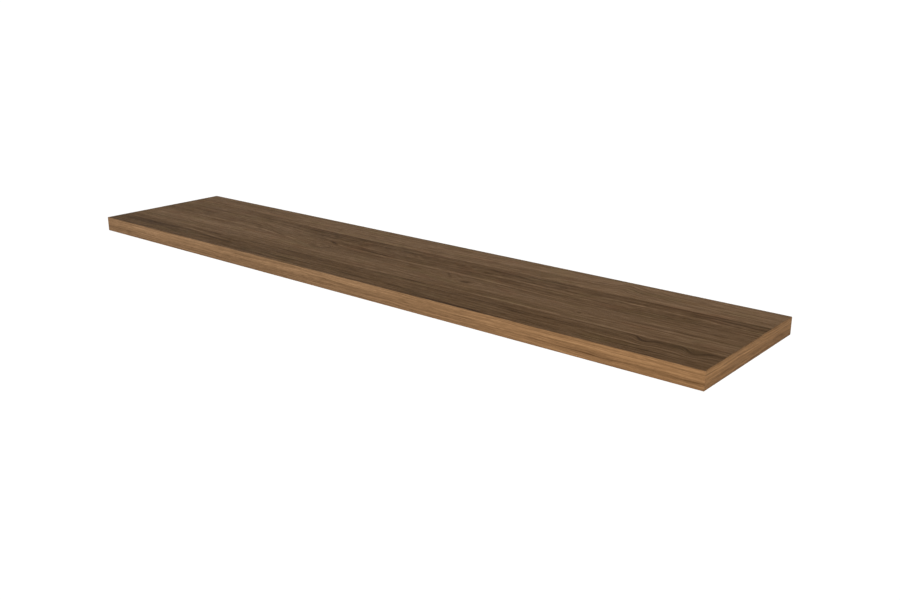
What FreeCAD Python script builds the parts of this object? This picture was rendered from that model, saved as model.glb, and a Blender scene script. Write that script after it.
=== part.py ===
import FreeCAD, Part
import os
from math import cos, radians, sin

from FreeCAD import Vector

# A wall shelf: a walnut-faced particleboard shelf that slides onto three concealed steel brackets.
# Each bracket is a small wall plate with a rod standing out of it. A recess in the shelf's back edge
# takes the plate, a blind bore takes the rod, and a lock screw from below clamps the shelf to the rod.
# Sizes are in millimetres. X runs along the shelf, Y points into the wall and Z is up. The origin is on
# the wall's face, at the middle of the centre wall plate and halfway up the shelf's thickness.

# Shelf board
shelf_length = 1200.0
shelf_depth = 250.0
shelf_thickness = 25.0
laminate_thickness = 0.8
edge_band_thickness = 1.0
arris_radius = 0.5

# Wall plates
bracket_inset = 150.0
plate_thickness = 5.0
plate_rim = 2.5
plate_edge_chamfer = 0.6
wall_hole_spacing = 44.0
wall_hole_diameter = 5.5
wall_hole_countersink = 10.5

# Support rods
rod_diameter = 12.0
rod_reach = 150.0
rod_seat_depth = 1.0
rod_tip_chamfer = 1.5
rod_tapping_spare = 2.0

# Countersunk screws that hold the rods to the plates
rod_screw_diameter = 5.0
rod_screw_head = 10.0
rod_screw_length = 16.0
rod_screw_sink = 0.2
rod_screw_socket = 3.0
rod_screw_socket_depth = 1.6

# Lock screws under the shelf, and the threaded inserts that carry them
lock_setback = 60.0
lock_screw_diameter = 5.0
lock_screw_recess = 1.2
lock_screw_socket = 2.5
lock_screw_socket_depth = 2.2
lock_tip_gap = 0.3
insert_wall = 1.4
insert_flange_rim = 1.6
insert_flange_thickness = 1.0
insert_slot_width = 1.6
insert_slot_depth = 0.7
insert_ridge_count = 3
insert_ridge_height = 0.5
insert_land = 0.8

# Small edges and clearances
screw_chamfer = 0.4
recess_side_clearance = 0.5
recess_floor_clearance = 1.0
bore_clearance = 0.15
bore_end_clearance = 3.0
seat_clearance = 0.05
thread_clearance = 0.08
screw_hole_clearance = 0.25

# Places that follow from the sizes
half_length = shelf_length / 2
half_thickness = shelf_thickness / 2
bracket_offset = half_length - bracket_inset
bracket_places = {"left": -bracket_offset, "centre": 0.0, "right": bracket_offset}

rod_radius = rod_diameter / 2
rod_tip = -plate_thickness - rod_reach
rod_foot = -plate_thickness + rod_seat_depth
plate_end_radius = rod_radius + plate_rim
recess_floor = -plate_thickness - recess_floor_clearance
bore_radius = rod_radius + bore_clearance
bore_end = rod_tip - bore_end_clearance

lock_screw_radius = lock_screw_diameter / 2
lock_screw_tip = -rod_radius - lock_tip_gap
lock_screw_end = -half_thickness + lock_screw_recess
insert_bore_radius = lock_screw_radius + thread_clearance
insert_body_radius = insert_bore_radius + insert_wall
insert_flange_radius = insert_body_radius + insert_flange_rim
insert_flange_top = -half_thickness + insert_flange_thickness
insert_top = -bore_radius - insert_land

X_AXIS = Vector(1, 0, 0)
Y_AXIS = Vector(0, 1, 0)
Z_AXIS = Vector(0, 0, 1)
HEXAGON_CORNERS = 6


def block(span_x, span_y, span_z):
    """A box from its spans along X, Y and Z, each a pair of a low and a high place."""
    spans = (span_x, span_y, span_z)
    low = Vector(*[span[0] for span in spans])
    sides = [span[1] - span[0] for span in spans]
    return Part.makeBox(*sides, low)


def cylinder(radius, axis, start, end):
    """A round bar about an axis through the origin, from one place along it to another."""
    return Part.makeCylinder(radius, end - start, axis * start, axis)


def turned(profile, axis):
    """A solid of revolution. The profile lists pairs of a radius and a place along the axis."""
    points = [X_AXIS * radius + axis * place for radius, place in profile]
    outline = Part.makePolygon(points + points[:1])
    return Part.Face(outline).revolve(Vector(), axis, 360)


def hexagon_bar(across_flats, axis, start, end):
    """A six-sided bar about an axis through the origin."""
    corner_radius = across_flats / 2 / cos(radians(180 / HEXAGON_CORNERS))
    across = axis.cross(X_AXIS)
    corners = []
    for number in range(HEXAGON_CORNERS):
        turn = radians(360 / HEXAGON_CORNERS * number)
        spoke = X_AXIS * cos(turn) + across * sin(turn)
        corners.append(axis * start + spoke * corner_radius)
    outline = Part.makePolygon(corners + corners[:1])
    return Part.Face(outline).extrude(axis * (end - start))


def stadium(half_span, end_radius, depth):
    """A slot-shaped block with round ends, standing out of the wall's face towards the room."""
    upper_left = Vector(-half_span, 0, end_radius)
    upper_right = Vector(half_span, 0, end_radius)
    right_end = Vector(half_span + end_radius, 0, 0)
    lower_right = Vector(half_span, 0, -end_radius)
    lower_left = Vector(-half_span, 0, -end_radius)
    left_end = Vector(-half_span - end_radius, 0, 0)
    sides = [
        Part.LineSegment(upper_left, upper_right),
        Part.Arc(upper_right, right_end, lower_right),
        Part.LineSegment(lower_right, lower_left),
        Part.Arc(lower_left, left_end, upper_left),
    ]
    outline = Part.Wire([side.toShape() for side in sides])
    return Part.Face(outline).extrude(Y_AXIS * -depth)


def cut_all(shape, tools):
    """Takes every tool out of the shape and merges the faces that were split."""
    for tool in tools:
        shape = shape.cut(tool)
    return shape.removeSplitter()


def at_brackets(shape):
    """Copies of a shape at the three brackets."""
    return [shape.translated(X_AXIS * place) for place in bracket_places.values()]


def wall_plate():
    """A slot-shaped steel plate with two wall-screw holes and a seat for the rod."""
    plate = stadium(wall_hole_spacing / 2, plate_end_radius, plate_thickness)
    front_edges = [edge for edge in plate.Edges if edge.BoundBox.YMax < -plate_thickness / 2]
    plate = plate.makeChamfer(plate_edge_chamfer, front_edges)

    hole_radius = wall_hole_diameter / 2
    mouth_radius = wall_hole_countersink / 2
    wall_hole = turned([
        (0, 0),
        (hole_radius, 0),
        (hole_radius, -plate_thickness + mouth_radius - hole_radius),
        (mouth_radius, -plate_thickness),
        (0, -plate_thickness),
    ], Y_AXIS)
    wall_holes = [wall_hole.translated(X_AXIS * (wall_hole_spacing / 2 * side)) for side in (-1, 1)]

    head_radius = rod_screw_head / 2 + rod_screw_sink
    shank_radius = rod_screw_diameter / 2 + screw_hole_clearance
    screw_hole = turned([
        (0, 0),
        (head_radius, 0),
        (shank_radius, shank_radius - head_radius),
        (shank_radius, rod_foot),
        (0, rod_foot),
    ], Y_AXIS)
    rod_seat = cylinder(rod_radius + seat_clearance, Y_AXIS * -1, -rod_foot, plate_thickness)
    return cut_all(plate, wall_holes + [screw_hole, rod_seat])


def support_rod():
    """A round steel bar with a chamfered tip and a tapped hole in its wall end."""
    tapping_radius = rod_screw_diameter / 2 + thread_clearance
    tapping_end = -rod_screw_sink - rod_screw_length - rod_tapping_spare
    return turned([
        (tapping_radius, rod_foot),
        (rod_radius, rod_foot),
        (rod_radius, rod_tip + rod_tip_chamfer),
        (rod_radius - rod_tip_chamfer, rod_tip),
        (0, rod_tip),
        (0, tapping_end),
        (tapping_radius, tapping_end),
    ], Y_AXIS)


def rod_screw():
    """A countersunk socket screw, its head just under the plate's wall face."""
    head_radius = rod_screw_head / 2
    shank_radius = rod_screw_diameter / 2
    head_face = -rod_screw_sink
    screw_end = head_face - rod_screw_length
    screw = turned([
        (0, head_face),
        (head_radius, head_face),
        (shank_radius, head_face + shank_radius - head_radius),
        (shank_radius, screw_end + screw_chamfer),
        (shank_radius - screw_chamfer, screw_end),
        (0, screw_end),
    ], Y_AXIS)
    socket = hexagon_bar(rod_screw_socket, Y_AXIS, head_face - rod_screw_socket_depth, head_face)
    return cut_all(screw, [socket])


def insert_outside():
    """The outer profile of a threaded insert, from the shelf's lower face up: flange, then ridged body."""
    profile = [
        (insert_flange_radius, -half_thickness),
        (insert_flange_radius, insert_flange_top),
        (insert_body_radius, insert_flange_top),
    ]
    ridge_pitch = (insert_top - insert_flange_top) / insert_ridge_count
    for number in range(insert_ridge_count):
        ridge_foot = insert_flange_top + ridge_pitch * number
        profile.append((insert_body_radius + insert_ridge_height, ridge_foot + ridge_pitch / 2))
        profile.append((insert_body_radius, ridge_foot + ridge_pitch))
    return profile


def lock_insert():
    """A slotted, flanged insert that gives the lock screw its thread."""
    bore = [(insert_bore_radius, insert_top), (insert_bore_radius, -half_thickness)]
    insert = turned(insert_outside() + bore, Z_AXIS)
    slot = block(
        (-insert_flange_radius, insert_flange_radius),
        (-insert_slot_width / 2, insert_slot_width / 2),
        (-half_thickness, -half_thickness + insert_slot_depth),
    )
    return cut_all(insert, [slot]).translated(Y_AXIS * -lock_setback)


def lock_screw():
    """A headless socket screw, its tip just under the rod and its socket facing down."""
    chamfered_radius = lock_screw_radius - screw_chamfer
    screw = turned([
        (0, lock_screw_end),
        (chamfered_radius, lock_screw_end),
        (lock_screw_radius, lock_screw_end + screw_chamfer),
        (lock_screw_radius, lock_screw_tip - screw_chamfer),
        (chamfered_radius, lock_screw_tip),
        (0, lock_screw_tip),
    ], Z_AXIS)
    socket = hexagon_bar(lock_screw_socket, Z_AXIS, lock_screw_end, lock_screw_end + lock_screw_socket_depth)
    return cut_all(screw, [socket]).translated(Y_AXIS * -lock_setback)


def plate_recess():
    """The hollow in the shelf's back edge that takes a wall plate."""
    return stadium(wall_hole_spacing / 2, plate_end_radius + recess_side_clearance, -recess_floor)


def rod_bore():
    """The blind hole in the shelf that takes a rod."""
    return cylinder(bore_radius, Y_AXIS * -1, 0, -bore_end)


def lock_hole():
    """The hole from the shelf's lower face up to the rod bore, cut by the insert and the lock screw."""
    seat = turned(insert_outside() + [(0, insert_top), (0, -half_thickness)], Z_AXIS)
    passage = cylinder(lock_screw_radius + screw_hole_clearance, Z_AXIS, insert_top, 0)
    return seat.fuse(passage).translated(Y_AXIS * -lock_setback)


def board_pieces():
    """The shelf's core, faces and edge bands, cut from one board whose arrises are lightly rounded."""
    whole_x = (-half_length, half_length)
    whole_y = (-shelf_depth, 0)
    whole_z = (-half_thickness, half_thickness)
    blank = block(whole_x, whole_y, whole_z)
    board = blank.makeFillet(arris_radius, blank.Edges)

    inner_x = (-half_length + edge_band_thickness, half_length - edge_band_thickness)
    inner_y = (-shelf_depth + edge_band_thickness, -edge_band_thickness)
    inner_z = (-half_thickness + laminate_thickness, half_thickness - laminate_thickness)
    layers = {
        "core_board": block(inner_x, inner_y, inner_z),
        "top_laminate": block(inner_x, inner_y, (inner_z[1], whole_z[1])),
        "bottom_laminate": block(inner_x, inner_y, (whole_z[0], inner_z[0])),
        "front_edge_band": block(whole_x, (whole_y[0], inner_y[0]), whole_z),
        "back_edge_band": block(whole_x, (inner_y[1], whole_y[1]), whole_z),
        "left_edge_band": block((whole_x[0], inner_x[0]), inner_y, whole_z),
        "right_edge_band": block((inner_x[1], whole_x[1]), inner_y, whole_z),
    }
    recesses = at_brackets(plate_recess())
    bores = at_brackets(rod_bore())
    lock_holes = at_brackets(lock_hole())
    cuts = {
        "core_board": recesses + bores + lock_holes,
        "back_edge_band": recesses,
        "bottom_laminate": lock_holes,
    }
    pieces = {}
    for name, layer in layers.items():
        pieces[name] = cut_all(board.common(layer), cuts.get(name, []))
    return pieces


def bracket_pieces():
    """The metal pieces of the three brackets, each named after its place along the shelf."""
    makers = {
        "wall_plate": wall_plate,
        "support_rod": support_rod,
        "rod_screw": rod_screw,
        "lock_insert": lock_insert,
        "lock_screw": lock_screw,
    }
    pieces = {}
    for piece_name, maker in makers.items():
        shape = maker()
        for side, place in bracket_places.items():
            pieces[side + "_" + piece_name] = shape.translated(X_AXIS * place)
    return pieces


os.makedirs("parts", exist_ok=True)
for name, shape in {**board_pieces(), **bracket_pieces()}.items():
    if len(shape.Solids) != 1 or not shape.isValid():
        raise ValueError(name + " is not one valid solid")
    shape.Solids[0].exportStep("parts/" + name + ".step")
    print("%-20s %12.1f mm3" % (name, shape.Volume))
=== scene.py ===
from math import cos, radians, sin

import bpy
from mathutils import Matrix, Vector


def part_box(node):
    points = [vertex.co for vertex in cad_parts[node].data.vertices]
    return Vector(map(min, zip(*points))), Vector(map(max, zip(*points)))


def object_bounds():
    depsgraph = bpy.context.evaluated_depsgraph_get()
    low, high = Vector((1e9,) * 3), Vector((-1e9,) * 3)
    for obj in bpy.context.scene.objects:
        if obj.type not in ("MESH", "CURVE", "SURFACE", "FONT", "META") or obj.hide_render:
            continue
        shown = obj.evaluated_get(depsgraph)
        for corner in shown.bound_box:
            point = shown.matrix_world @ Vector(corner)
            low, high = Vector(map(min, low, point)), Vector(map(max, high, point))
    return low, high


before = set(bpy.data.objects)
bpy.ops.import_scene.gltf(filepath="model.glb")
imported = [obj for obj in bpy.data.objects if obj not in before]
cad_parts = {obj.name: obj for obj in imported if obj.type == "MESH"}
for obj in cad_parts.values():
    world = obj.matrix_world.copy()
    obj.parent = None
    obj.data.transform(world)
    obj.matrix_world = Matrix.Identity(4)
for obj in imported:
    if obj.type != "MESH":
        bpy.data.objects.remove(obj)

# A walnut wall shelf on concealed brackets. The solids of the frame keep their shapes. This script gives
# each of them its finish, then adds the floor, the light and the camera.
# Patterns are worked out in millimetres: along the shelf from its left end, out from the wall, and up
# from the middle of the board's thickness.

cad_low, cad_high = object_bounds()

AXES = (0, 1, 2)
X, Y, Z = AXES

MM = 1000.0
SHELF_LENGTH = (cad_high[X] - cad_low[X]) * MM
SHELF_DEPTH = -cad_low[Y] * MM
HALF_THICKNESS = cad_high[Z] * MM
BRACKETS = ("left", "centre", "right")


# Shader arithmetic

# Places of the sockets of a mix node that works on colours.
MIX_FACTOR, MIX_FIRST, MIX_SECOND = 0, 6, 7
MIX_RESULT = 2

NOISE_MEAN = 0.5
NOISE_SPREAD = 0.11


class Wire:
    """One output of a shader node. Arithmetic on wires adds math nodes to their material."""

    def __init__(self, tree, socket):
        self.tree = tree
        self.socket = socket

    def math(self, operation, *others):
        node = self.tree.nodes.new("ShaderNodeMath")
        node.operation = operation
        for socket, source in zip(node.inputs, (self, *others)):
            feed(self.tree, socket, source)
        return Wire(self.tree, node.outputs[0])

    def __add__(self, other):
        return self.math("ADD", other)

    def __sub__(self, other):
        return self.math("SUBTRACT", other)

    def __mul__(self, other):
        return self.math("MULTIPLY", other)

    def __truediv__(self, other):
        return self.math("DIVIDE", other)

    def __pow__(self, other):
        return self.math("POWER", other)

    def __abs__(self):
        return self.math("ABSOLUTE")

    def flip(self):
        """What is left of 1."""
        return self * -1 + 1

    def rise(self, low, high):
        """A smooth step from 0 at low to 1 at high. It steps down where low is above high."""
        node = self.tree.nodes.new("ShaderNodeMapRange")
        node.interpolation_type = "SMOOTHSTEP"
        ends = (low, high, 0.0, 1.0) if low < high else (high, low, 1.0, 0.0)
        feed(self.tree, node.inputs[0], self)
        for socket, end in zip(node.inputs[1:5], ends):
            socket.default_value = end
        return Wire(self.tree, node.outputs[0])

    def window(self, low, high, fade):
        """1 between low and high, with a soft step about each of them."""
        return self.rise(low - fade, low + fade) * self.rise(high + fade, high - fade)

    def line(self, half_width, softness):
        """1 where this distance is 0, fading to 0 at the half width times the softness."""
        return abs(self).rise(half_width * softness, 0)

    def colours(self, stops):
        """A colour ramp through pairs of a place and a linear colour. It is level beyond both ends."""
        first, last = stops[0][0], stops[-1][0]
        node = self.tree.nodes.new("ShaderNodeValToRGB")
        elements = node.color_ramp.elements
        while len(elements) < len(stops):
            elements.new(1.0)
        for element, (place, colour) in zip(elements, stops):
            element.position = (place - first) / (last - first)
            element.color = (*colour, 1.0)
        feed(self.tree, node.inputs[0], (self - first) / (last - first))
        return Wire(self.tree, node.outputs[0])

    def levels(self, stops):
        """A ramp through pairs of a place and a level."""
        return self.colours([(place, (level, level, level)) for place, level in stops])

    def tint(self, colour, amount):
        """This colour multiplied by another one, as far as the amount says."""
        node = self.tree.nodes.new("ShaderNodeMix")
        node.data_type = "RGBA"
        node.blend_type = "MULTIPLY"
        feed(self.tree, node.inputs[MIX_FACTOR], amount)
        feed(self.tree, node.inputs[MIX_FIRST], self)
        node.inputs[MIX_SECOND].default_value = (*colour, 1.0)
        return Wire(self.tree, node.outputs[MIX_RESULT])


def feed(tree, socket, source):
    """Joins a wire to a socket, or sets the socket to a plain number."""
    if isinstance(source, Wire):
        tree.links.new(source.socket, socket)
    else:
        socket.default_value = source


def plus(total, wire):
    """A running sum, which starts from None. It holds one value at a time, as deep shaders must."""
    return wire if total is None else total + wire


def place_wires(tree):
    """The surface point in millimetres: along from the left end, out from the wall, up from the middle."""
    point = tree.nodes.new("ShaderNodeTexCoord")
    parts = tree.nodes.new("ShaderNodeSeparateXYZ")
    tree.links.new(point.outputs["Object"], parts.inputs[0])
    x, y, z = [Wire(tree, socket) for socket in parts.outputs]
    return x * MM + SHELF_LENGTH / 2, y * -MM, z * MM


def vector(x, y, z):
    tree = x.tree
    node = tree.nodes.new("ShaderNodeCombineXYZ")
    for socket, source in zip(node.inputs, (x, y, z)):
        feed(tree, socket, source)
    return Wire(tree, node.outputs[0])


def noise(x, y, z, detail=2.0):
    """Soft noise about 0, with a spread of about 1. A number for z is a layer, one flat pattern of many."""
    tree = x.tree
    node = tree.nodes.new("ShaderNodeTexNoise")
    node.inputs["Scale"].default_value = 1.0
    node.inputs["Detail"].default_value = detail
    feed(tree, node.inputs["Vector"], vector(x, y, z))
    return (Wire(tree, node.outputs["Fac"]) - NOISE_MEAN) / NOISE_SPREAD


def patches(along, across, layer, size, levels, detail=2.0):
    """Soft patches from 0 to 1, of a length and a width, which start and fill at two levels of noise."""
    length, width = size
    return noise(along / length, across / width, layer, detail).rise(*levels)


def streaks(along, across, layer, scales, layer_step):
    """Noises of several sizes, added up. Each has its length, width, strength and layer."""
    total = None
    for number, (length, width, strength) in enumerate(scales):
        total = plus(total, noise(along / length, across / width, layer + layer_step * number) * strength)
    return total


def speckle(along, out, up, size):
    """Noise of one size in every direction."""
    return noise(along / size, out / size, up / size)


def srgb(red, green, blue):
    """A linear colour from byte values as a screen shows them."""
    def linear(byte):
        level = byte / 255
        return level / 12.92 if level <= 0.04045 else ((level + 0.055) / 1.055) ** 2.4
    return linear(red), linear(green), linear(blue)


def new_material(name):
    material = bpy.data.materials.new(name)
    material.use_nodes = True
    return material, material.node_tree, material.node_tree.nodes["Principled BSDF"]


def add_bump(tree, shader, height, distance, strength):
    node = tree.nodes.new("ShaderNodeBump")
    node.inputs["Strength"].default_value = strength
    node.inputs["Distance"].default_value = distance
    feed(tree, node.inputs["Height"], height)
    tree.links.new(node.outputs["Normal"], shader.inputs["Normal"])


# Walnut colours

# Tones are levels about a mean of 0.5, mostly from 0 to 1. Each palette gives the colours as the picture
# shows them, and the light and the gloss on that face are taken out to get the base colours.
# That light is only part of what makes the faces darker than the bands, so the darker faces and paler
# bands are partly the wood's own colour and partly painted light: painted shade on the top and the
# underside, and painted light on the bands.
FACE_SEEN = (
    (-0.3, (58, 45, 33)), (0.0, (73, 58, 43)), (0.25, (88, 69, 52)), (0.5, (98, 78, 59)),
    (0.75, (108, 87, 67)), (1.0, (125, 101, 79)),
)
FACE_LIGHT = 1.07
FACE_GLOSS = 0.019
EDGE_SEEN = (
    (0.0, (96, 70, 46)), (0.25, (122, 93, 65)), (0.5, (140, 108, 77)), (0.75, (157, 122, 88)),
    (1.0, (178, 141, 104)),
)
EDGE_LIGHT = 1.34
EDGE_GLOSS = 0.004
END_WARMTH = (0.98, 0.90, 0.75)
PLAIN = (1.0, 1.0, 1.0)

# Hue drifts on the top: length and width of a patch, the noise levels where it starts and is full, and the
# tint where it is strongest. The rosy patches keep to one stretch out from the wall.
ROSY_PATCH = (55, 26)
ROSY_LEVELS = (0.3, 1.6)
ROSY_OUT = (0, 188)
ROSY_FADE = 10
ROSY_TINT = (1.0, 0.945, 0.925)
OLIVE_PATCH = (90, 24)
OLIVE_LEVELS = (0.1, 1.6)
OLIVE_TINT = (0.955, 0.99, 0.925)

# The top grows a little warmer to the right, between these two places along the shelf.
WARM_ALONG = (300, 1100)
WARM_TINT = (1.0, 0.99, 0.985)

# Painted light: the bands are painted paler and more golden towards the front right corner, where more
# light fell, along the front between these two places, and over this much of an end.
PAINTED_LIGHT_FRONT_SPAN = (480, 1200)
PAINTED_LIGHT_END_SPAN = 150
PAINTED_LIGHT_TONE = 0.14
PAINTED_LIGHT_FRONT_TINT = (1.0, 0.92, 0.80)
PAINTED_LIGHT_END_TINT = (1.0, 0.985, 0.95)

# The bands' arrises darken from the first to the second of these distances from the upper and lower
# faces. In patches they are rubbed part of the way back to the plain colour.
ARRIS_INNER = 0.45
ARRIS_OUTER = 0.05
ARRIS_TINT = (0.5, 0.5, 0.52)
RUBBED_PATCH = (30, 4)
RUBBED_LEVELS = (-0.5, 1.5)
RUBBED_SHARE = 0.35


# Walnut grain

# Each face starts from a noise layer of its own, and each use of noise on that face adds a step to it.
TOP_LAYER = 0
UNDERSIDE_LAYER = 100
FRONT_LAYER = 201
BACK_LAYER = 301
LEFT_END_LAYER = 401
RIGHT_END_LAYER = 501
FACE_STEPS = {"wander": 3.1, "grain": 11, "pores": 21, "rosy": 31, "olive": 37, "breaks": 61, "surface": 71}
BAND_STEPS = {"wander": 0, "pores": 2, "surface": 5, "breaks": 9, "rubbed": 13, "grain": 20}
WANDER_STEP = 5.3
GRAIN_STEP = 3.7
SHEEN_STEP = 1.9
RIDGE_STEP = 0.7

# Wander of the grain: length along it, width across it, and how far it moves the grain aside.
FACE_WANDER = ((230, 80, 1.2), (70, 26, 0.5))
BAND_WANDER = ((140, 12, 0.9),)

# Grain scales: length along the grain, width across it, and how much each changes the tone.
FACE_GRAIN = (
    (320, 14, 0.03), (420, 5.0, 0.05), (300, 2.6, 0.13), (130, 1.1, 0.13), (26, 3.2, 0.09), (10, 0.9, 0.08),
    (18, 0.25, 0.10),
)
EDGE_GRAIN = (
    (300, 3.5, 0.02), (260, 1.5, 0.09), (140, 0.7, 0.16), (20, 1.2, 0.06), (8, 0.6, 0.06), (14, 0.2, 0.10),
)

# Pores, sheen and ridges of the surface: their sizes, and what they do to tone, roughness and height.
PORE_SIZE = (14, 0.5)
PORE_LEVELS = (1.0, 2.4)
PORE_TONE = -0.14
PORE_ROUGHNESS = 0.14
SHEEN_LENGTH = 90
SHEEN_WIDTH = 40
SHEEN_ROUGHNESS = 0.02
RIDGE_LENGTH = 60
RIDGE_WIDTH = 0.8
RIDGE_HEIGHT = 0.15
WOOD_ROUGHNESS = 0.66
WOOD_SPECULAR = 0.05
WOOD_BUMP_DISTANCE = 0.00012
WOOD_BUMP_STRENGTH = 0.35

# Each face is three leaves of veneer laid edge to edge, with straight joints at these distances from the
# wall. Every leaf has a grain pattern of its own, and the grain straightens near a joint.
LEAF_JOINTS = (64, 194)
LEAF_SHIFT = 17.3
JOINT_REACH = 14

# Tone across the board: pairs of millimetres from the wall and a level. The strips are plain on the right
# and soften towards the left end, between the two places of STRIPS_MEET along the shelf.
STRIPS_RIGHT = (
    (0, 0.63), (20, 0.69), (45, 0.67), (63.5, 0.71), (64.5, 0.25), (78, 0.28), (86, 0.37), (100, 0.35),
    (116, 0.38), (126, 0.53), (140, 0.49), (156, 0.59), (166, 0.62), (180, 0.49), (193.5, 0.57),
    (194.5, 0.28), (212, 0.30), (222, 0.40), (232, 0.31), (242, 0.36), (250, 0.34),
)
STRIPS_LEFT = (
    (0, 0.62), (30, 0.66), (60, 0.50), (84, 0.47), (105, 0.42), (120, 0.45), (128, 0.55), (145, 0.64),
    (158, 0.67), (176, 0.54), (192, 0.57), (198, 0.34), (208, 0.38), (218, 0.18), (232, 0.28), (250, 0.24),
)
STRIPS_MEET = (270, 480)

# Tone of the bands from their upper edge down: pairs of millimetres and a level.
BAND_SHADES = ((0, 0.54), (4, 0.59), (8, 0.60), (11, 0.52), (15, 0.44), (20, 0.41), (25, 0.37))

# Knots: along, out, half length, half width, the tone of the eye, and the strength of the rings. The grain
# is pulled about a knot, and eye and rings fade out between two shares of its size.
KNOTS = ((457, 138, 24, 13, 0.10, 0.18), (773, 151, 24, 12, -0.52, 0.09), (977, 164, 12, 7, -0.48, 0.14))
KNOT_REACH = 1.6
KNOT_PULL = 0.7
KNOT_EYE_FADE = (0.60, 0.05)
KNOT_RING_FADE = (1.9, 0.4)
KNOT_RING_DENSITY = 3.5
KNOT_RING_SKEW = 0.4

# The dark curl near the right end: a line that hangs in two loops, given as place, depth and half width,
# and a soft band that fills in between and beyond them. The line is faint where it hangs less than the
# first value of CURL_LOOPED, and full from the second on. The grain of its leaf hangs with the line, and
# runs straight again from CURL_REACH on.
CURL_START = 1068
CURL_OUT = 197
CURL_LOOPS = ((1097, 10, 13), (1165, 13, 14))
CURL_LOOP_SOFTNESS = 1.6
CURL_LOOPED = (0.5, 7)
CURL_REACH = 236
CURL_HALF_WIDTH = 2.4
CURL_TONE = -0.44
CURL_FAINT_SHARE = 0.3
CURL_BAND_START = 1098
CURL_BAND_OUT = 201
CURL_BAND_HALF_WIDTH = 4.0
CURL_BAND_TONE = -0.26
CURL_SOFTNESS = 1.8
CURL_FADE = 14

# The pointed arch in the leaf at the wall: where its tip is, how blunt the tip is, how fast its sides
# level out, and how far they fall away from the wall.
ARCH_ALONG = 968
ARCH_TIP = 7
ARCH_SPREAD = 26
ARCH_FALL = 30

# The sweep in the middle leaf, where the grain drifts away from the wall on its way to the first knot.
SWEEP_ALONG = (225, 450)
SWEEP_OUT = (88, 148)
SWEEP_FADE = 24
SWEEP_FALL = 22

# Drawn marks are soft lines that fade in from their start and out to their end, each time over twice
# MARK_FADE_SHARE of their length. Streaks break them up, given as length, width and strength.
MARK_SOFTNESS = 1.7
MARK_FADE_SHARE = 0.25
FACE_BREAKS = (40, 1.4, 0.34)
BAND_BREAKS = (25, 1.2, 0.3)

# Grain marks on the top: start and end along the shelf, the distance from the wall at each, half the
# width, and the change of tone. They are listed leaf by leaf, from the left end to the right.
TOP_MARKS = (
    # The leaf at the wall
    (-60, 130, 36, 36, 8, -0.14),
    (185, 310, 50, 95, 7, -0.16),
    (320, 440, 56, 60, 2.6, 0.24),
    (550, 670, 39, 41, 4, -0.18),
    (570, 650, 19, 20, 4, -0.16),
    (750, 830, 24, 25, 3.5, -0.16),
    (790, 850, 45, 46, 3.5, 0.16),
    (770, 870, 40, 40, 2.5, -0.18),
    (800, 930, 33, 33, 3, 0.22),
    (975, 1090, 50, 62, 2.5, 0.26),
    (1000, 1090, 38, 45, 2, -0.22),
    (1050, 1150, 30, 31, 2.5, -0.26),
    # The middle leaf
    (75, 150, 96, 112, 9, -0.14),
    (150, 235, 112, 120, 8, -0.18),
    (150, 340, 157, 158, 4, -0.28),
    (248, 294, 104, 122, 3.4, -0.30),
    (262, 312, 117, 136, 4, -0.30),
    (292, 388, 113, 144, 3.0, -0.30),
    (300, 430, 66, 74, 9, -0.10),
    (330, 445, 123, 153, 2.6, 0.22),
    (380, 440, 98, 106, 7, -0.16),
    (405, 455, 87, 88, 5, 0.18),
    (440, 480, 110, 125, 3.2, -0.64),
    (480, 640, 114, 123, 2.6, -0.36),
    (490, 640, 130, 137, 6.5, -0.16),
    (590, 700, 102, 99, 4, -0.14),
    (630, 690, 134, 139, 5, -0.16),
    (690, 800, 117, 120, 3, -0.16),
    (716, 744, 127, 150, 3.0, -0.40),
    (738, 764, 132, 146, 2.6, -0.30),
    (750, 1000, 80, 82, 3.0, 0.26),
    (770, 900, 127, 146, 2.6, 0.22),
    (800, 1000, 91, 92, 2.5, -0.26),
    (870, 1240, 84, 93, 1.8, 0.44),
    (850, 960, 66, 66, 2.5, -0.18),
    (900, 1010, 80, 81, 4, 0.24),
    (960, 1240, 142, 142, 2.4, 0.32),
    (960, 1240, 150, 151, 3.2, -0.38),
    (1030, 1240, 170, 174, 6, 0.17),
    (1100, 1240, 77, 79, 3.5, 0.16),
    (1090, 1240, 66, 67, 2.5, 0.12),
    (1140, 1240, 91, 92, 2.5, 0.22),
    (430, 760, 193, 189, 3.4, 0.30),
    (690, 1150, 189, 190, 1.8, 0.34),
    (950, 1120, 190, 191, 1.8, 0.20),
    # The front leaf
    (10, 230, 215, 221, 7, -0.18),
    (150, 250, 242, 243, 4, -0.16),
    (120, 350, 195, 204, 3, -0.34),
    (110, 370, 199, 225, 3.0, 0.44),
    (180, 430, 214, 233, 3.5, -0.16),
    (390, 560, 221, 222, 2.5, 0.20),
    (390, 530, 231, 231, 3.5, -0.20),
    (530, 680, 233, 232, 4, -0.20),
    (670, 755, 195.5, 196, 2.2, -0.40),
    (680, 800, 206, 208, 4, 0.16),
    (680, 820, 230, 246, 4, -0.22),
    (740, 830, 231, 239, 3, 0.20),
    (740, 930, 246, 247, 3, -0.34),
    (800, 1000, 206, 221, 3, -0.18),
    (870, 960, 240, 241, 3, 0.18),
    (960, 1120, 237, 238, 4, 0.20),
    (1000, 1090, 211, 213, 4, 0.18),
    (1000, 1130, 221, 230, 3, -0.16),
)

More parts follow.
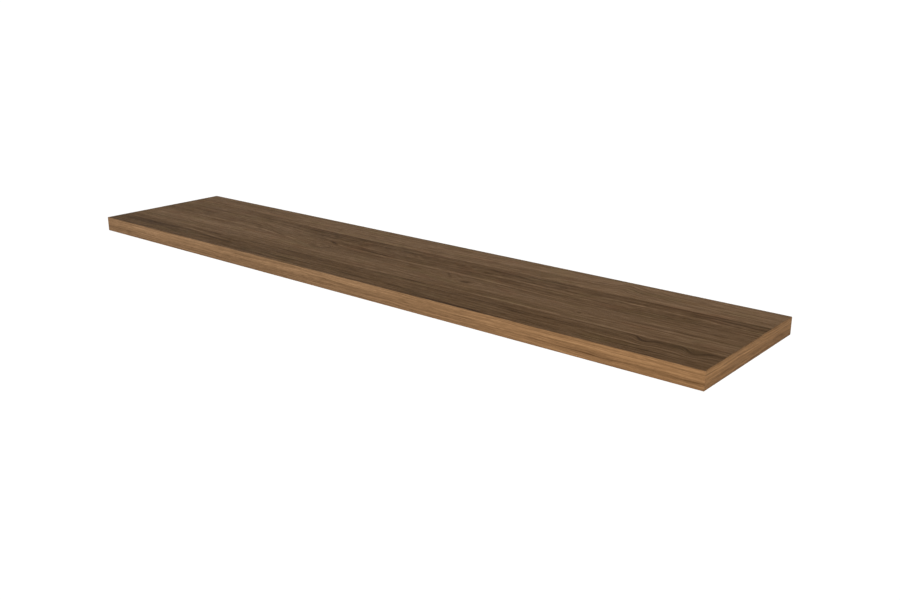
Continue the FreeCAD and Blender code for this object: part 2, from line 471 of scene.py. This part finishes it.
# Grain marks on the bands: start and end along the band, the distance below its upper edge at each, half
# the width, and the change of tone. An end is measured from the front.
FRONT_MARKS = (
    (250, 800, 19, 19, 9, -0.07),
    (800, 1130, 19, 19, 7, 0.07),
    (355, 435, 7, 7.5, 1.0, -0.26),
    (500, 720, 10, 10, 1.2, -0.22),
    (718, 762, 9, 14, 2.0, -0.20),
    (778, 806, 10, 10, 1.2, -0.24),
    (818, 884, 11, 13, 1.6, -0.18),
    (955, 1230, 7.5, 7, 1.5, 0.30),
    (980, 1115, 13, 15.5, 2.0, -0.32),
    (1145, 1230, 17, 17, 1.2, -0.34),
    (1125, 1230, 12, 11.5, 2.2, 0.22),
)
END_MARKS = (
    (-90, 340, 20, 20, 8, 0.06),
    (150, 270, 12, 12, 30, -0.06),
    (188, 232, 14, 17, 2.6, -0.26),
    (60, 130, 9, 10, 1.2, -0.22),
    (20, 75, 16, 17, 1.2, -0.24),
    (8, 60, 6, 6.5, 1.5, 0.22),
)


def base_colours(seen, light, gloss, warmth=PLAIN):
    """The base colours that look like the seen ones under the light and the gloss of their face."""
    stops = []
    for place, colour in seen:
        base = [(level - gloss) / light * share for level, share in zip(srgb(*colour), warmth)]
        stops.append((place, tuple(base)))
    return stops


def layers_from(first, steps):
    """The noise layers of one face, by their use."""
    return {use: first + step for use, step in steps.items()}


def pores(along, flow, layer):
    """Short open pores, from 0 to 1."""
    return patches(along, flow, layer, PORE_SIZE, PORE_LEVELS, detail=1)


def marks(along, flow, table):
    """Grain marks placed one by one."""
    total = None
    for start, end, place_start, place_end, half_width, change in table:
        slope = (place_end - place_start) / (end - start)
        centre = along * slope + (place_start - slope * start)
        fade = (end - start) * MARK_FADE_SHARE
        body = (flow - centre).line(half_width, MARK_SOFTNESS)
        total = plus(total, body * along.window(start + fade, end - fade, fade) * change)
    return total


def broken_up(drawn, along, flow, layer, breaks):
    """Drawn marks with streaks through them, so that they look grown."""
    length, width, strength = breaks
    return drawn * (noise(along / length, flow / width, layer) * strength + 1)


def face_flow(along, out, layer, knots):
    """Distance from the wall, bent so that lines of equal distance run as the grain does."""
    drift = streaks(along, out, layer, FACE_WANDER, WANDER_STEP)
    for knot_along, knot_out, half_length, half_width, *_ in knots:
        aside = (along - knot_along) / (half_length * KNOT_REACH)
        across = out - knot_out
        pull = (aside ** 2 + (across / (half_width * KNOT_REACH)) ** 2 + 1) ** -2
        drift = drift - across * pull * KNOT_PULL
    for joint in LEAF_JOINTS:
        drift = drift * abs(out - joint).rise(0, JOINT_REACH)
    return out + drift


def leaf_layer(out):
    """A step up at each joint, which sets the grain of one leaf apart from that of the next."""
    total = None
    for joint in LEAF_JOINTS:
        total = plus(total, out.math("GREATER_THAN", joint) * LEAF_SHIFT)
    return total


def curl_hang(along):
    """How far the curl's line hangs out from its straight course at each place along the shelf."""
    total = None
    for centre, depth, half_width in CURL_LOOPS:
        total = plus(total, (along - centre).line(half_width, CURL_LOOP_SOFTNESS) * depth)
    return total


def figured_flow(along, out, flow):
    """The flow with the arch, the sweep and the curl worked in, one in each leaf."""
    wall_joint, front_joint = LEAF_JOINTS
    aside = ((along - ARCH_ALONG) ** 2 + ARCH_TIP ** 2) ** 0.5
    arch = aside / (aside + ARCH_SPREAD) * ARCH_FALL * out.math("LESS_THAN", wall_joint)
    sweep = along.rise(*SWEEP_ALONG) * out.window(*SWEEP_OUT, SWEEP_FADE) * SWEEP_FALL
    curl = curl_hang(along) * out.rise(CURL_REACH, CURL_OUT) * out.math("GREATER_THAN", front_joint)
    return flow - arch - sweep - curl


def strip_tone(along, flow):
    """The lighter and darker strips that run the length of the board."""
    share = along.rise(*STRIPS_MEET)
    return flow.levels(STRIPS_LEFT) * share.flip() + flow.levels(STRIPS_RIGHT) * share


def knot_tone(along, out):
    """Dark eyes with a few rings about them."""
    total = None
    for knot_along, knot_out, half_length, half_width, eye, ring in KNOTS:
        aside = (along - knot_along) / half_length
        across = (out - knot_out) / half_width
        radius = (aside ** 2 + across ** 2) ** 0.5
        rings = noise(radius * KNOT_RING_DENSITY, across * KNOT_RING_SKEW, knot_along, detail=1)
        rings = rings * radius.rise(*KNOT_RING_FADE) * ring
        total = plus(total, rings + radius.rise(*KNOT_EYE_FADE) * eye)
    return total


def curl_tone(along, out):
    """The dark curl near the right end."""
    hang = curl_hang(along)
    looped = hang.rise(*CURL_LOOPED)
    line = (out - hang - CURL_OUT).line(CURL_HALF_WIDTH, CURL_SOFTNESS)
    line = line * (looped * (1 - CURL_FAINT_SHARE) + CURL_FAINT_SHARE)
    line = line * along.rise(CURL_START - CURL_FADE, CURL_START + CURL_FADE)
    band = (out - CURL_BAND_OUT).line(CURL_BAND_HALF_WIDTH, CURL_SOFTNESS) * looped.flip()
    band = band * along.rise(CURL_BAND_START - CURL_FADE, CURL_BAND_START + CURL_FADE)
    return line * CURL_TONE + band * CURL_BAND_TONE


def wood_surface(material, colour, along, flow, layer, pore):
    """Joins a wood pattern to its material: colour, a low sheen, and sunk pores among fine ridges."""
    tree = material.node_tree
    shader = tree.nodes["Principled BSDF"]
    feed(tree, shader.inputs["Base Color"], colour)
    sheen = noise(along / SHEEN_LENGTH, flow / SHEEN_WIDTH, layer + SHEEN_STEP)
    roughness = sheen * SHEEN_ROUGHNESS + pore * PORE_ROUGHNESS + WOOD_ROUGHNESS
    feed(tree, shader.inputs["Roughness"], roughness)
    shader.inputs["Specular IOR Level"].default_value = WOOD_SPECULAR
    ridges = noise(along / RIDGE_LENGTH, flow / RIDGE_WIDTH, layer + RIDGE_STEP, detail=1)
    add_bump(tree, shader, ridges * RIDGE_HEIGHT - pore, WOOD_BUMP_DISTANCE, WOOD_BUMP_STRENGTH)


def walnut_top():
    """The upper face: leaves, strips, drawn marks, knots, grain and drifts of hue."""
    material, tree, _ = new_material("walnut_top")
    layers = layers_from(TOP_LAYER, FACE_STEPS)
    along, out, _ = place_wires(tree)
    flow = face_flow(along, out, layers["wander"], KNOTS)
    figured = figured_flow(along, out, flow)
    drawn = marks(along, flow, TOP_MARKS) + curl_tone(along, out)
    tone = broken_up(drawn, along, figured, layers["breaks"], FACE_BREAKS)
    tone = tone + strip_tone(along, flow)
    tone = tone + knot_tone(along, out)
    tone = tone + streaks(along, figured, leaf_layer(out) + layers["grain"], FACE_GRAIN, GRAIN_STEP)
    pore = pores(along, figured, layers["pores"])
    tone = tone + pore * PORE_TONE
    # The top's palette keeps painted shade, which makes it darker than the bands.
    colour = tone.colours(base_colours(FACE_SEEN, FACE_LIGHT, FACE_GLOSS))
    rosy = patches(along, out, layers["rosy"], ROSY_PATCH, ROSY_LEVELS) * out.window(*ROSY_OUT, ROSY_FADE)
    olive = patches(along, out, layers["olive"], OLIVE_PATCH, OLIVE_LEVELS)
    colour = colour.tint(ROSY_TINT, rosy).tint(OLIVE_TINT, olive)
    colour = colour.tint(WARM_TINT, along.rise(*WARM_ALONG))
    wood_surface(material, colour, along, figured, layers["surface"], pore)
    return material


def walnut_underside():
    """The same wood in another cut, seen from below."""
    material, tree, _ = new_material("walnut_underside")
    layers = layers_from(UNDERSIDE_LAYER, FACE_STEPS)
    along, out, _ = place_wires(tree)
    mirrored = along * -1 + SHELF_LENGTH
    flow = face_flow(mirrored, out, layers["wander"], ())
    pore = pores(mirrored, flow, layers["pores"])
    tone = strip_tone(mirrored, flow)
    tone = tone + streaks(mirrored, flow, leaf_layer(out) + layers["grain"], FACE_GRAIN, GRAIN_STEP)
    tone = tone + pore * PORE_TONE
    # The underside takes the top's palette, with its painted shade.
    colour = tone.colours(base_colours(FACE_SEEN, FACE_LIGHT, FACE_GLOSS))
    wood_surface(material, colour, mirrored, flow, layers["surface"], pore)
    return material


def walnut_band(name, first_layer, at_end, table):
    """Edge band. The grain runs along the shelf at front and back, and from front to back at the ends."""
    material, tree, _ = new_material(name)
    layers = layers_from(first_layer, BAND_STEPS)
    along, out, up = place_wires(tree)
    run = out * -1 + SHELF_DEPTH if at_end else along
    down = up * -1 + HALF_THICKNESS
    flow = down + streaks(run, down, layers["wander"], BAND_WANDER, WANDER_STEP)
    pore = pores(run, flow, layers["pores"])
    # Painted light: the band is painted paler and more golden towards the front right corner.
    painted_light = run.rise(PAINTED_LIGHT_END_SPAN, 0) if at_end else run.rise(*PAINTED_LIGHT_FRONT_SPAN)
    tone = flow.levels(BAND_SHADES) + streaks(run, flow, layers["grain"], EDGE_GRAIN, GRAIN_STEP)
    tone = tone + pore * PORE_TONE + painted_light * PAINTED_LIGHT_TONE
    if table:
        tone = tone + broken_up(marks(run, flow, table), run, flow, layers["breaks"], BAND_BREAKS)
    rubbed = patches(run, up, layers["rubbed"], RUBBED_PATCH, RUBBED_LEVELS)
    arris = abs(up).rise(HALF_THICKNESS - ARRIS_INNER, HALF_THICKNESS - ARRIS_OUTER)
    arris = arris * (rubbed * -RUBBED_SHARE + 1)
    warmth = END_WARMTH if at_end else PLAIN
    # The bands' palette keeps painted light, which makes them paler than the faces.
    colour = tone.colours(base_colours(EDGE_SEEN, EDGE_LIGHT, EDGE_GLOSS, warmth))
    # The painted light also tints the band more golden towards that corner.
    colour = colour.tint(PAINTED_LIGHT_END_TINT if at_end else PAINTED_LIGHT_FRONT_TINT, painted_light)
    colour = colour.tint(ARRIS_TINT, arris)
    wood_surface(material, colour, run, flow, layers["surface"], pore)
    return material


# Core and metals

# Pressed chips: their size, the noise that bends them, and the fine dust between them.
CHIP_LENGTH = 4.0
CHIP_THICKNESS = 1.1
CHIP_COLOURS = (
    (0.0, srgb(132, 98, 62)), (0.35, srgb(178, 140, 96)), (0.7, srgb(204, 168, 122)),
    (1.0, srgb(226, 196, 152)),
)
CHIP_HEIGHT = 0.5
BEND_LENGTH = 5
BEND_THICKNESS = 3
BEND_STRENGTH = 0.5
DUST_SIZE = 0.7
DUST_TONE = 0.10
DUST_ROUGHNESS = 0.03
DUST_HEIGHT = 0.1
CORE_ROUGHNESS = 0.85
CORE_SPECULAR = 0.2
CORE_BUMP_DISTANCE = 0.0003
CORE_BUMP_STRENGTH = 0.5

# Metal tones run from the dark one to the light one about the middle, with clouds and tool lines.
ZINC_TONES = (srgb(112, 115, 121), srgb(178, 180, 179))
BLACK_TONES = (srgb(22, 22, 23), srgb(58, 57, 56))
BRASS_TONES = (srgb(168, 128, 62), srgb(222, 186, 116))
MIDDLE_TONE = 0.5
CLOUD_TONE = 0.18
LINE_TONE = 0.12
METAL_ROUGHNESS_CHANGE = 0.03
METAL_BUMP_DISTANCE = 0.00002
METAL_BUMP_STRENGTH = 0.3

# Sizes of the tool lines.
DRAWN_LENGTH = 45
DRAWN_WIDTH = 0.35
ROLLED_SIZE = 0.6
TURNED_WIDTH = 0.16


def particleboard():
    """Pressed wood chips, which lie flat in the board."""
    material, tree, shader = new_material("particleboard")
    along, out, up = place_wires(tree)
    chips = tree.nodes.new("ShaderNodeTexVoronoi")
    chips.inputs["Scale"].default_value = 1.0
    bend = noise(along / BEND_LENGTH, out / BEND_LENGTH, up / BEND_THICKNESS) * BEND_STRENGTH
    point = vector(along / CHIP_LENGTH + bend, out / CHIP_LENGTH, up / CHIP_THICKNESS)
    feed(tree, chips.inputs["Vector"], point)
    split = tree.nodes.new("ShaderNodeSeparateColor")
    tree.links.new(chips.outputs["Color"], split.inputs[0])
    chip = Wire(tree, split.outputs[0])
    dust = speckle(along, out, up, DUST_SIZE)
    feed(tree, shader.inputs["Base Color"], (chip + dust * DUST_TONE).colours(CHIP_COLOURS))
    feed(tree, shader.inputs["Roughness"], dust * DUST_ROUGHNESS + CORE_ROUGHNESS)
    shader.inputs["Specular IOR Level"].default_value = CORE_SPECULAR
    gaps = Wire(tree, chips.outputs["Distance"])
    height = chip * CHIP_HEIGHT - gaps + dust * DUST_HEIGHT
    add_bump(tree, shader, height, CORE_BUMP_DISTANCE, CORE_BUMP_STRENGTH)
    return material


def metal(name, tones, lines, metallic, roughness, cloud_size):
    """Metal between two tones, with tool lines and soft clouds of tarnish."""
    material, tree, shader = new_material(name)
    along, out, up = place_wires(tree)
    scratch = lines(along, out, up)
    cloud = speckle(along, out, up, cloud_size)
    tone = cloud * CLOUD_TONE + scratch * LINE_TONE + MIDDLE_TONE
    dark, light = tones
    feed(tree, shader.inputs["Base Color"], tone.colours(((0.0, dark), (1.0, light))))
    shader.inputs["Metallic"].default_value = metallic
    change = cloud * METAL_ROUGHNESS_CHANGE + scratch * METAL_ROUGHNESS_CHANGE
    feed(tree, shader.inputs["Roughness"], change + roughness)
    add_bump(tree, shader, scratch, METAL_BUMP_DISTANCE, METAL_BUMP_STRENGTH)
    return material


def drawn_lines(along, out, up):
    """Lines left by drawing a bar along its length."""
    return noise(along / DRAWN_WIDTH, out / DRAWN_LENGTH, up / DRAWN_WIDTH)


def rolled_grain(along, out, up):
    """The fine speckle of rolled and plated sheet."""
    return speckle(along, out, up, ROLLED_SIZE)


def turned_lines(node):
    """Rings about the upright axis of one turned piece."""
    low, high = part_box(node)
    axis_along = (low[X] + high[X]) / 2 * MM + SHELF_LENGTH / 2
    axis_out = -(low[Y] + high[Y]) / 2 * MM

    def lines(along, out, up):
        radius = ((along - axis_along) ** 2 + (out - axis_out) ** 2) ** 0.5
        return noise(radius / TURNED_WIDTH, up / TURNED_WIDTH, axis_along)
    return lines


# Dressing the solids

# The six panels, and the axis and the side that the show face of each looks to.
PANELS = {
    "top_laminate": (Z, 1),
    "bottom_laminate": (Z, -1),
    "front_edge_band": (Y, -1),
    "back_edge_band": (Y, 1),
    "left_edge_band": (X, -1),
    "right_edge_band": (X, 1),
}

# Places in a panel's texture square, as left, bottom, width and height: the show face, the face behind it,
# and the first of four sides, which lie in a row.
SHOW_PLACE = (0.005, 0.16, 0.99, 0.835)
BEHIND_PLACE = (0.005, 0.085, 0.99, 0.065)
SIDE_PLACE = (0.005, 0.01, 0.24, 0.065)
SIDE_PITCH = 0.25


def dress(node, material):
    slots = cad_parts[node].data.materials
    slots.clear()
    slots.append(material)


def bake_layout(node, main_axis, main_side):
    """Lays a panel's faces out flat so that its show face takes most of the texture square."""
    low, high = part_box(node)
    size = [high[axis] - low[axis] for axis in AXES]
    flat = [axis for axis in AXES if axis != main_axis]
    long_axis, short_axis = sorted(flat, key=lambda axis: -size[axis])
    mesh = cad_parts[node].data
    layer = mesh.uv_layers.new(name="OFBake")
    side_places = {}
    for count, key in enumerate(((long_axis, 1), (long_axis, -1), (short_axis, 1), (short_axis, -1))):
        side_places[key] = (SIDE_PLACE[0] + SIDE_PITCH * count, *SIDE_PLACE[1:])
    for face in mesh.polygons:
        axis = max(AXES, key=lambda place: abs(face.normal[place]))
        side = 1 if face.normal[axis] > 0 else -1
        if axis == main_axis:
            across, upward = long_axis, short_axis
            left, bottom, width, height = SHOW_PLACE if side == main_side else BEHIND_PLACE
        else:
            across, upward = [place for place in AXES if place != axis]
            left, bottom, width, height = side_places[(axis, side)]
        for corner in face.loop_indices:
            point = mesh.vertices[mesh.loops[corner].vertex_index].co
            share_across = (point[across] - low[across]) / size[across]
            share_upward = (point[upward] - low[upward]) / size[upward]
            layer.data[corner].uv = (left + width * share_across, bottom + height * share_upward)


dress("top_laminate", walnut_top())
dress("bottom_laminate", walnut_underside())
dress("front_edge_band", walnut_band("walnut_front", FRONT_LAYER, at_end=False, table=FRONT_MARKS))
dress("back_edge_band", walnut_band("walnut_back", BACK_LAYER, at_end=False, table=()))
dress("left_edge_band", walnut_band("walnut_left_end", LEFT_END_LAYER, at_end=True, table=()))
dress("right_edge_band", walnut_band("walnut_right_end", RIGHT_END_LAYER, at_end=True, table=END_MARKS))
dress("core_board", particleboard())

zinc_sheet = metal("zinc_sheet", ZINC_TONES, rolled_grain, metallic=1.0, roughness=0.36, cloud_size=14)
zinc_bar = metal("zinc_bar", ZINC_TONES, drawn_lines, metallic=1.0, roughness=0.30, cloud_size=14)
black_steel = metal("black_steel", BLACK_TONES, rolled_grain, metallic=0.9, roughness=0.42, cloud_size=3)
for bracket in BRACKETS:
    insert = f"{bracket}_lock_insert"
    rings = turned_lines(insert)
    brass = metal(f"brass_{bracket}", BRASS_TONES, rings, metallic=1.0, roughness=0.28, cloud_size=5)
    dress(f"{bracket}_wall_plate", zinc_sheet)
    dress(f"{bracket}_support_rod", zinc_bar)
    dress(f"{bracket}_rod_screw", black_steel)
    dress(f"{bracket}_lock_screw", black_steel)
    dress(insert, brass)

for panel, (show_axis, show_side) in PANELS.items():
    bake_layout(panel, show_axis, show_side)


# Floor, light and camera

FLOOR_DROP = 1.4
FLOOR_SIZE = 600.0
FLOOR_LEVEL = 0.93
FLOOR_ROUGHNESS = 0.95
WORLD_LEVEL = 0.8
SUN_STRENGTH = 1.8
SUN_AZIMUTH = 24.0
SUN_ELEVATION = 35.0
SUN_SPREAD = 90.0
CAMERA_PLACE = (1.0537, -1.2437, 0.4335)
CAMERA_AZIMUTH = 39.803
CAMERA_ELEVATION = 17.724
CAMERA_LENS = 40.238
SENSOR_WIDTH = 36.0


def towards(azimuth, elevation):
    """The direction from the shelf to a viewer or a light. Azimuth 0 is straight in front of it."""
    turn, lift = radians(azimuth), radians(elevation)
    return Vector((sin(turn) * cos(lift), -cos(turn) * cos(lift), sin(lift)))


def make_floor():
    """A plain pale floor that is clear from below, so that the underside can be looked at."""
    bpy.ops.mesh.primitive_plane_add(size=FLOOR_SIZE, location=(0, 0, -FLOOR_DROP))
    floor = bpy.context.object
    floor.name = "floor"
    material, tree, shader = new_material("pale_floor")
    shader.inputs["Base Color"].default_value = (FLOOR_LEVEL, FLOOR_LEVEL, FLOOR_LEVEL, 1.0)
    shader.inputs["Roughness"].default_value = FLOOR_ROUGHNESS
    shader.inputs["Specular IOR Level"].default_value = 0.0
    facing = tree.nodes.new("ShaderNodeNewGeometry")
    clear = tree.nodes.new("ShaderNodeBsdfTransparent")
    choose = tree.nodes.new("ShaderNodeMixShader")
    tree.links.new(facing.outputs["Backfacing"], choose.inputs[0])
    tree.links.new(shader.outputs[0], choose.inputs[1])
    tree.links.new(clear.outputs[0], choose.inputs[2])
    tree.links.new(choose.outputs[0], tree.nodes["Material Output"].inputs["Surface"])
    floor.data.materials.append(material)


def make_light():
    """Even white surroundings and one very soft sun from the front right."""
    world = bpy.data.worlds.new("studio")
    world.use_nodes = True
    background = world.node_tree.nodes["Background"]
    background.inputs["Color"].default_value = (1.0, 1.0, 1.0, 1.0)
    background.inputs["Strength"].default_value = WORLD_LEVEL
    bpy.context.scene.world = world
    data = bpy.data.lights.new("soft_sun", "SUN")
    data.energy = SUN_STRENGTH
    data.angle = radians(SUN_SPREAD)
    sun = bpy.data.objects.new("soft_sun", data)
    sun.rotation_mode = "QUATERNION"
    sun.rotation_quaternion = towards(SUN_AZIMUTH, SUN_ELEVATION).to_track_quat("Z", "Y")
    bpy.context.collection.objects.link(sun)


def make_camera():
    """The photograph's viewing angle."""
    data = bpy.data.cameras.new("camera")
    data.lens = CAMERA_LENS
    data.sensor_width = SENSOR_WIDTH
    data.clip_end = FLOOR_SIZE
    camera = bpy.data.objects.new("camera", data)
    camera.location = CAMERA_PLACE
    camera.rotation_mode = "QUATERNION"
    camera.rotation_quaternion = towards(CAMERA_AZIMUTH, CAMERA_ELEVATION).to_track_quat("Z", "Y")
    bpy.context.collection.objects.link(camera)
    bpy.context.scene.camera = camera


make_floor()
make_light()
make_camera()
bpy.context.scene.view_settings.view_transform = "Standard"
